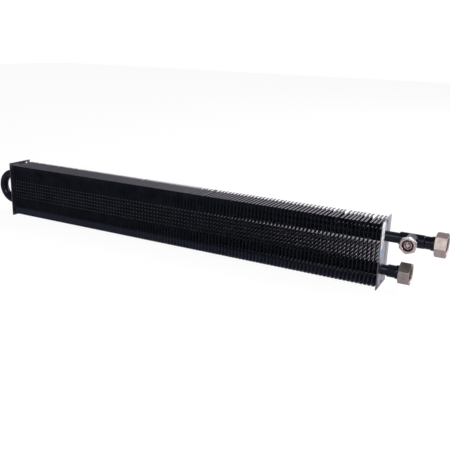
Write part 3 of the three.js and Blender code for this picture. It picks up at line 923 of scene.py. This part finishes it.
# %% [markdown]
# ## Tail pipes
#
# A tail pipe carries each union nut. It has a stop collar behind the nut, a groove for the split
# ring that keeps the nut on, and a flat face for the gasket. All of it is round, so it is turned in
# one go. The edges are rounded enough to catch the light.

# %% Tail pipes
TAIL_RADIUS = 9.0
GROOVE_RADIUS = 8.2
STOP_COLLAR_RADIUS = 10.0
STOP_COLLAR_LENGTH = 5.0
GAP = 0.3
RING_START = 3.3
RING_END = 4.9
TAIL_SOCKET_DEPTH = 10.0


def tail_line(nut_back, face):
    """Outer line of a tail from its stop collar to its face."""
    stop_start = nut_back - GAP - STOP_COLLAR_LENGTH
    stop_end = nut_back - GAP
    groove_start = nut_back + RING_START - GAP
    groove_end = nut_back + RING_END + GAP
    return [
        (stop_start, TAIL_RADIUS),
        (stop_start, STOP_COLLAR_RADIUS),
        (stop_end, STOP_COLLAR_RADIUS),
        (stop_end, TAIL_RADIUS),
        (groove_start, TAIL_RADIUS),
        (groove_start, GROOVE_RADIUS),
        (groove_end, GROOVE_RADIUS),
        (groove_end, TAIL_RADIUS),
        (face, TAIL_RADIUS),
        (face, BORE_RADIUS),
    ]


def tail(node, nut_node, height, near_end):
    """near_end gives the points that lead from the bore to the tail's outside."""
    low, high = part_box(node)
    start = low.x / MM
    nut_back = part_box(nut_node)[0].x / MM
    begin = near_end(start)
    line = begin + tail_line(nut_back, high.x / MM) + begin[:1]
    piece = turned(node + "_turned", line, Vector((0.0, 0.0, height)) * MM, ALONG, UPWARD, steps=64)
    soften(piece, 0.35 * MM, segments=3)
    hand_over(piece, node, "block", pipe_lacquer)


def spigot_end(start):
    """Ends in a spigot that goes into the tee."""
    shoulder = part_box("vent_tee")[1].x / MM + GAP
    return [
        (start, BORE_RADIUS),
        (start, TUBE_RADIUS),
        (shoulder, TUBE_RADIUS),
        (shoulder, TAIL_RADIUS),
    ]


def socket_end(start):
    """Ends in a socket that goes over the tube."""
    return [
        (start + TAIL_SOCKET_DEPTH, BORE_RADIUS),
        (start + TAIL_SOCKET_DEPTH, SOCKET_RADIUS),
        (start, SOCKET_RADIUS),
        (start, TAIL_RADIUS),
    ]


tail("flow_tail", "flow_union_nut", FLOW_HEIGHT, spigot_end)
tail("return_tail", "return_union_nut", RETURN_HEIGHT, socket_end)

# %% [markdown]
# ## Union nuts
#
# A union nut is a hexagon with its corners turned off at 30 degrees and a threaded bore. A
# turning of six steps gives the hexagon, whose long edges are bevelled in edit mode. A round
# envelope then carries everything that the lathe makes: the turned-off corners, the bore, the
# thread and the mouth. Where hexagon and envelope overlap is the nut. The thread is cut as
# separate grooves, since its slope of one degree can't be seen.

# %% Union nuts
ACROSS_FLATS = 30.0
NUT_CORNER = ACROSS_FLATS / math.sqrt(3.0)
NUT_LENGTH = 15.5
NUT_BACK_WALL = 3.0
NUT_BACK_HOLE = 9.3
THREAD_CREST = 12.05
THREAD_ROOT = 12.95
THREAD_PITCH = 1.814
NUT_MOUTH_RADIUS = 13.3
CORNER_CUT = 1.6
CORNER_SLOPE = math.tan(math.radians(30.0))
FLOW_NUT_TURN = 9.0
RETURN_NUT_TURN = -22.0


def thread_line(start, end):
    """Grooves from the mouth inwards, as (distance, radius) points."""
    line = []
    along = start
    while along - THREAD_PITCH > end:
        line += [
            (along, THREAD_CREST),
            (along - 0.35 * THREAD_PITCH, THREAD_ROOT),
            (along - 0.5 * THREAD_PITCH, THREAD_ROOT),
            (along - 0.85 * THREAD_PITCH, THREAD_CREST),
        ]
        along -= THREAD_PITCH
    return line + [(end, THREAD_CREST)]


def union_nut(node, body, height, turn):
    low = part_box(node)[0]
    origin = Vector((low.x, 0.0, height * MM))
    angle = math.pi + math.radians(turn)
    corner = Vector((0.0, math.cos(angle), math.sin(angle)))
    bar_line = [(0.0, 0.0), (0.0, NUT_CORNER), (NUT_LENGTH, NUT_CORNER), (NUT_LENGTH, 0.0)]
    nut = turned(node + "_turned", bar_line, origin, ALONG, corner, steps=6)
    choose(nut, "EDGE", lambda middle, direction: abs(direction.x) > 0.99)
    bpy.ops.mesh.bevel(offset=0.5 * MM, segments=3)
    leave_edit_mode()
    rim = NUT_CORNER - CORNER_CUT
    fall = CORNER_CUT * CORNER_SLOPE
    envelope_line = [
        (0.0, NUT_BACK_HOLE),
        (0.0, rim - 0.3),
        (0.1, rim),
        (fall + 0.1, NUT_CORNER + 0.1),
        (NUT_LENGTH - fall - 0.1, NUT_CORNER + 0.1),
        (NUT_LENGTH - 0.1, rim),
        (NUT_LENGTH, rim - 0.3),
        (NUT_LENGTH, NUT_MOUTH_RADIUS),
        (NUT_LENGTH - 1.0, THREAD_CREST + 0.25),
        *thread_line(NUT_LENGTH - 1.2, NUT_BACK_WALL + 0.6),
        (NUT_BACK_WALL, THREAD_CREST),
        (NUT_BACK_WALL, NUT_BACK_HOLE),
        (0.0, NUT_BACK_HOLE),
    ]
    envelope = turned("envelope", envelope_line, origin, ALONG, corner, steps=96)
    combine(nut, envelope, "INTERSECT")
    smooth(nut, 20.0)
    hand_over(nut, node, body, dull_nickel)


union_nut("flow_union_nut", "flow_nut", FLOW_HEIGHT, FLOW_NUT_TURN)
union_nut("return_union_nut", "return_nut", RETURN_HEIGHT, RETURN_NUT_TURN)

# %% [markdown]
# ## Gaskets and split rings
#
# The flat gasket of pressed fibre lies against the tail's face. The split ring sits in
# the tail's groove; its solid already has the right shape, so it stays and only gets its steel.

# %% Gaskets and split rings
GASKET_RADIUS = 11.6


def gasket(node, height):
    low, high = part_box(node)
    start, end = low.x / MM, high.x / MM
    line = [
        (start, BORE_RADIUS),
        (start, GASKET_RADIUS),
        (end, GASKET_RADIUS),
        (end, BORE_RADIUS),
        (start, BORE_RADIUS),
    ]
    piece = turned(node + "_pressed", line, Vector((0.0, 0.0, height)) * MM, ALONG, UPWARD)
    soften(piece, 0.2 * MM)
    hand_over(piece, node, "block", fibre)


gasket("flow_gasket", FLOW_HEIGHT)
gasket("return_gasket", RETURN_HEIGHT)
for node in ("flow_nut_ring", "return_nut_ring"):
    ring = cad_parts[node]
    ring.data.materials.clear()
    ring.data.materials.append(spring_steel)
    print(node, "keeps its solid")

# %% [markdown]
# ## Tee
#
# The tee is a casting: a round run on the tube's line with a round boss towards the front, and
# a soft hollow where they meet. Two turned bars are joined and remeshed with small cubes, and a
# smoothing then melts the corner between them, as it does in the sand mould. The waterway and the
# vent's hole are cut last, so they stay crisp.

# %% Tee
BOSS_RADIUS = 10.0
BOSS_REACH = 21.5
TEE_RADIUS = 9.5
SOCKET_DEPTH = 10.0
VENT_HOLE_RADIUS = 8.4
VENT_HOLE_START = 3.0

tee_low, tee_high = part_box("vent_tee")
vent_origin = Vector(((tee_low.x + tee_high.x) / 2, 0.0, FLOW_HEIGHT * MM))
half = (tee_high.x - tee_low.x) / 2 / MM
run_line = [
    (-half, 0.0),
    (-half, TEE_RADIUS - 1.0),
    (-half + 1.0, TEE_RADIUS),
    (half - 1.0, TEE_RADIUS),
    (half, TEE_RADIUS - 1.0),
    (half, 0.0),
]
tee = turned("tee_casting", run_line, vent_origin, ALONG, UPWARD, steps=64)
boss_line = [
    (0.0, 0.0),
    (0.0, BOSS_RADIUS),
    (BOSS_REACH - 0.5, BOSS_RADIUS),
    (BOSS_REACH, BOSS_RADIUS - 0.5),
    (BOSS_REACH, 0.0),
]
combine(tee, turned("boss", boss_line, vent_origin, FRONTWARD, UPWARD, steps=64), "UNION")
modify(tee, "REMESH", mode="VOXEL", voxel_size=0.5 * MM)
modify(tee, "SMOOTH", factor=0.5, iterations=5)
bottom = half - SOCKET_DEPTH
waterway_line = [
    (-half - 1.0, 0.0),
    (-half - 1.0, SOCKET_RADIUS),
    (-bottom, SOCKET_RADIUS),
    (-bottom, BORE_RADIUS),
    (bottom, BORE_RADIUS),
    (bottom, SOCKET_RADIUS),
    (half + 1.0, SOCKET_RADIUS),
    (half + 1.0, 0.0),
]
combine(tee, turned("waterway", waterway_line, vent_origin, ALONG, UPWARD), "DIFFERENCE")
vent_hole_line = [
    (VENT_HOLE_START, 0.0),
    (VENT_HOLE_START, VENT_HOLE_RADIUS),
    (BOSS_REACH + 2.0, VENT_HOLE_RADIUS),
    (BOSS_REACH + 2.0, 0.0),
]
combine(tee, turned("vent_hole", vent_hole_line, vent_origin, FRONTWARD, UPWARD), "DIFFERENCE")
smooth(tee, 40.0)
hand_over(tee, "vent_tee", "block", pipe_lacquer)

# %% [markdown]
# ## Air vent
#
# The vent is screwed into the tee's boss: a hexagon flange with a deep recess, and in the recess
# a sleeve with the square end of the vent screw, which takes a key. The hexagon is made like the
# nuts. The square is a turning of four steps whose edges are bevelled.

# %% Plate of the vent, with painted shade in the recess
# The dark brown painted inside the vent's recess: painted shade, the colour of brass in shade.
RECESS_SHADE_BROWN = (0.12, 0.07, 0.05)
RECESS_SHADE_RADIUS = 8.0
RECESS_SHADE_BLUR = 0.2

vent_nickel = plated(
    "vent_nickel", (0.50, 0.43, 0.41), (0.66, 0.59, 0.57), (0.14, 0.26), (1.0, 6.0, 1.0), 0.01 * MM
)

off_axis = [
    reckon(vent_nickel, "SUBTRACT", coordinate(vent_nickel, letter), middle)
    for letter, middle in (("X", vent_origin.x), ("Z", vent_origin.z))
]
squares = [reckon(vent_nickel, "MULTIPLY", value, value) for value in off_axis]
from_axis = reckon(vent_nickel, "SQRT", reckon(vent_nickel, "ADD", *squares))
painted_recess_shade = spread(vent_nickel, from_axis, RECESS_SHADE_RADIUS * MM, (RECESS_SHADE_RADIUS + RECESS_SHADE_BLUR) * MM, 1.0, 0.0)
# Painted shade: inside the recess the plate is painted dark brown.
paint_over(vent_nickel, painted_recess_shade, RECESS_SHADE_BROWN)

# %% Vent body
VENT_ACROSS_FLATS = 22.0
VENT_CORNER = VENT_ACROSS_FLATS / math.sqrt(3.0)
HEX_START = 23.6
VENT_FRONT = 29.6
VENT_BACK = 12.6
RECESS_RADIUS = 7.8
RECESS_FLOOR = VENT_FRONT - 5.0
SLEEVE_RADIUS = 5.3
VENT_THREAD_RADIUS = 8.1
VENT_CORNER_CUT = 1.9
VENT_TURN = 20.0

vent_angle = math.radians(VENT_TURN)
vent_corner = Vector((math.cos(vent_angle), 0.0, math.sin(vent_angle)))
flange_line = [
    (HEX_START, 0.0),
    (HEX_START, VENT_CORNER),
    (VENT_FRONT, VENT_CORNER),
    (VENT_FRONT, 0.0),
]
vent = turned("vent_plug", flange_line, vent_origin, FRONTWARD, vent_corner, steps=6)
choose(vent, "EDGE", lambda middle, direction: abs(direction.y) > 0.99)
bpy.ops.mesh.bevel(offset=1.6 * MM, segments=4)
leave_edit_mode()
vent_rim = VENT_CORNER - VENT_CORNER_CUT
vent_fall = VENT_CORNER_CUT * CORNER_SLOPE
vent_envelope_line = [
    (HEX_START, 0.0),
    (HEX_START, vent_rim),
    (HEX_START + vent_fall, VENT_CORNER + 0.05),
    (VENT_FRONT - vent_fall - 0.15, VENT_CORNER + 0.05),
    (VENT_FRONT - 0.15, vent_rim),
    (VENT_FRONT, vent_rim - 0.4),
    (VENT_FRONT, RECESS_RADIUS + 0.5),
    (VENT_FRONT - 0.5, RECESS_RADIUS),
    (RECESS_FLOOR, RECESS_RADIUS),
    (RECESS_FLOOR, 0.0),
]
vent_envelope = turned(
    "envelope", vent_envelope_line, vent_origin, FRONTWARD, vent_corner, steps=96
)
combine(vent, vent_envelope, "INTERSECT")
thread_bar_line = [
    (VENT_BACK, 0.0),
    (VENT_BACK, VENT_THREAD_RADIUS),
    (HEX_START + 0.2, VENT_THREAD_RADIUS),
    (HEX_START + 0.2, 0.0),
]
combine(vent, turned("thread_bar", thread_bar_line, vent_origin, FRONTWARD, UPWARD), "UNION")
sleeve_hole_line = [
    (VENT_BACK - 1.0, 0.0),
    (VENT_BACK - 1.0, SLEEVE_RADIUS + GAP),
    (VENT_FRONT, SLEEVE_RADIUS + GAP),
    (VENT_FRONT, 0.0),
]
combine(vent, turned("sleeve_hole", sleeve_hole_line, vent_origin, FRONTWARD, UPWARD), "DIFFERENCE")
smooth(vent, 20.0)
hand_over(vent, "vent_body", "block", vent_nickel)

# %% Vent sleeve, screw, pad and seal
SLEEVE_FRONT = 28.4
SCREW_RADIUS = 3.9
WELL_RADIUS = 4.2
SEAT_HOLE_RADIUS = 1.5
SEAT_FACE = 15.6
SCREW_START = 18.6
SCREW_THREAD_END = 24.0
KEY_FRONT = 28.9
KEY_SIDE = 5.0
KEY_CORNER = KEY_SIDE / math.sqrt(2.0)
KEY_BEVEL_FROM = 21.5
PAD_RADIUS = 3.4
SEAL_HOLE_RADIUS = 8.4
SEAL_RADIUS = 10.4

sleeve_line = [
    (VENT_BACK, SEAT_HOLE_RADIUS),
    (VENT_BACK, SLEEVE_RADIUS),
    (SLEEVE_FRONT - 0.3, SLEEVE_RADIUS),
    (SLEEVE_FRONT, SLEEVE_RADIUS - 0.3),
    (SLEEVE_FRONT, WELL_RADIUS + 0.2),
    (SLEEVE_FRONT - 0.2, WELL_RADIUS),
    (SEAT_FACE, WELL_RADIUS),
    (SEAT_FACE, SEAT_HOLE_RADIUS),
    (VENT_BACK, SEAT_HOLE_RADIUS),
]
sleeve = turned("vent_inner_sleeve", sleeve_line, vent_origin, FRONTWARD, UPWARD)
smooth(sleeve, 25.0)
hand_over(sleeve, "vent_sleeve", "block", bright_nickel)

thread_end_line = [
    (SCREW_START, 0.0),
    (SCREW_START, SCREW_RADIUS - 0.4),
    (SCREW_START + 0.4, SCREW_RADIUS),
    (SCREW_THREAD_END - 0.4, SCREW_RADIUS),
    (SCREW_THREAD_END, SCREW_RADIUS - 0.4),
    (SCREW_THREAD_END, 0.0),
]
screw = turned("vent_key_screw", thread_end_line, vent_origin, FRONTWARD, UPWARD, steps=32)
square_line = [
    (SCREW_START + 2.0, 0.0),
    (SCREW_START + 2.0, KEY_CORNER),
    (KEY_FRONT - 0.5, KEY_CORNER),
    (KEY_FRONT, KEY_CORNER - 0.6),
    (KEY_FRONT, 0.0),
]
square = turned("square", square_line, vent_origin, FRONTWARD, UPWARD, steps=4)
choose(
    square,
    "EDGE",
    lambda middle, direction: abs(direction.y) > 0.99 and middle.y < -KEY_BEVEL_FROM * MM,
)
bpy.ops.mesh.bevel(offset=0.3 * MM, segments=2)
leave_edit_mode()
combine(screw, square, "UNION")
smooth(screw, 25.0)
hand_over(screw, "vent_screw", "vent_spindle", bright_nickel)


def vent_disc(name, node, body, finish, hole_radius, radius):
    """A flat round piece on the vent's axis, with or without a hole."""
    low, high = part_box(node)
    start, end = -high.y / MM, -low.y / MM
    line = [(start, hole_radius), (start, radius), (end, radius), (end, hole_radius)]
    if hole_radius > 0.0:
        line.append(line[0])
    piece = turned(name, line, vent_origin, FRONTWARD, UPWARD)
    soften(piece, 0.25 * MM)
    hand_over(piece, node, body, finish)


vent_disc("seat_pad", "vent_seat_pad", "vent_pad", rubber, 0.0, PAD_RADIUS)
vent_disc(
    "seal_ring", "vent_seal_ring", "block", rubber, SEAL_HOLE_RADIUS, SEAL_RADIUS
)

# %% [markdown]
# ## Label
#
# A narrow paper label is stuck on the near plate, in front of the upper tube. It is plain white
# paper with a pale blue foot and a few faint grey bands. The bands belong to the paper, so they
# are part of its finish: heights on the label are compared with fixed levels.

# %% Label paper
WHITE_PAPER = (0.94, 0.94, 0.95)
BLUE_FOOT = (0.45, 0.62, 0.80)
FAINT_BAND = (0.62, 0.64, 0.68)
FOOT_SHARE = 0.20
BAND_SHARES = ((0.34, 0.36), (0.46, 0.47), (0.62, 0.66), (0.80, 0.81))

label_low, label_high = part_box("label")
paper, paper_shader = new_finish("label_paper")
paper_nodes = paper.node_tree.nodes
paper_links = paper.node_tree.links
paper_place = paper_nodes.new("ShaderNodeTexCoord")
paper_axes = paper_nodes.new("ShaderNodeSeparateXYZ")
paper_links.new(paper_place.outputs["Object"], paper_axes.inputs[0])
paper_height = paper_nodes.new("ShaderNodeMapRange")
paper_height.inputs["From Min"].default_value = label_low.z
paper_height.inputs["From Max"].default_value = label_high.z
paper_links.new(paper_axes.outputs["Z"], paper_height.inputs["Value"])
bands = [(0.0, BLUE_FOOT), (FOOT_SHARE, WHITE_PAPER)]
for start, end in BAND_SHARES:
    bands += [(start, FAINT_BAND), (end, WHITE_PAPER)]
colour_from(paper, paper_shader, paper_height.outputs["Result"], *bands)
for node in paper_nodes:
    if node.type == "VALTORGB":
        node.color_ramp.interpolation = "CONSTANT"
roughness_from(paper, paper_shader, grain(paper, 900.0), 0.4, 0.55)
relief_from(paper, paper_shader, grain(paper, 1500.0), 0.01 * MM)

# %% Label
sticker = box_over("blank_label", label_low, label_high)
choose(sticker, "EDGE", lambda middle, direction: abs(direction.x) > 0.99)
bpy.ops.mesh.bevel(offset=1.0 * MM, segments=4)
leave_edit_mode()
smooth(sticker)
hand_over(sticker, "label", "block", paper)

# %% [markdown]
# ## View transform
#
# The dressed model must not outgrow the solids. The colours are shown with the standard view transform.

# %% View transform
bpy.context.scene.view_settings.view_transform = "Standard"
